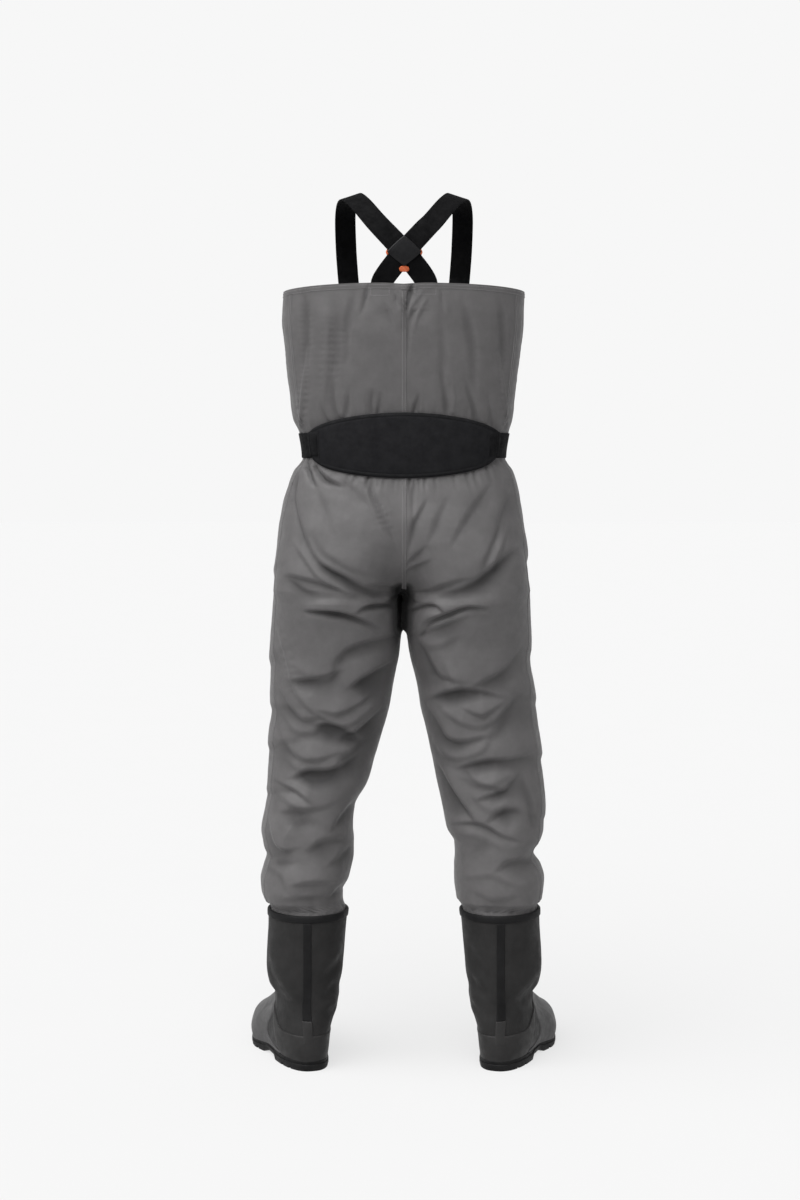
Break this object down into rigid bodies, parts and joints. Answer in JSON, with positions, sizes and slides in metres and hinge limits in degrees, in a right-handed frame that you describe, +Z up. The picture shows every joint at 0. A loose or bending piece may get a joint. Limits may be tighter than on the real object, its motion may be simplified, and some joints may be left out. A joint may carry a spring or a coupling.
{
  "type": "chest waders",
  "caption": "Chest waders with fixed lugged boots, high bib, crossed elastic braces and a padded waist belt, in the standing form they take when worn.",
  "frame": {"origin": "on the floor under the middle of the overall box", "axes": "+Z up, +Y towards the toes, +X to the wearer's right"},
  "size_m": [0.575, 0.3362, 1.5647],
  "materials": {
    "shell_fabric": "mid grey coated nylon cloth, soft low sheen",
    "neoprene": "charcoal matte neoprene",
    "boot_rubber": "charcoal semi-matte rubber",
    "toe_rubber": "lighter grey semi-matte rubber",
    "sole_rubber": "near-black matte rubber",
    "black_webbing": "black woven elastic webbing",
    "pad_neoprene": "near-black padded cloth over foam",
    "patch_leather": "black smooth leather",
    "tan_leather": "orange tan leather",
    "insole_felt": "dark grey felt"
  },
  "bodies": {
    "root": {"back_strip_left": "sole_rubber", "back_strip_right": "sole_rubber", "belt_lap": "black_webbing", "belt_webbing": "black_webbing", "boot_upper_left": "neoprene", "boot_upper_right": "neoprene", "brace_left": "black_webbing", "brace_right": "black_webbing", "collar_binding_left": "sole_rubber", "collar_binding_right": "sole_rubber", "crosspatch": "patch_leather", "crosspatch_backing": "tan_leather", "heel_counter_left": "boot_rubber", "heel_counter_right": "boot_rubber", "insole_left": "insole_felt", "insole_right": "insole_felt", "lumbar_pad": "pad_neoprene", "outsole_left": "sole_rubber", "outsole_right": "sole_rubber", "toe_cap_left": "toe_rubber", "toe_cap_right": "toe_rubber", "wader_shell": "shell_fabric"}
  },
  "joints": []
}
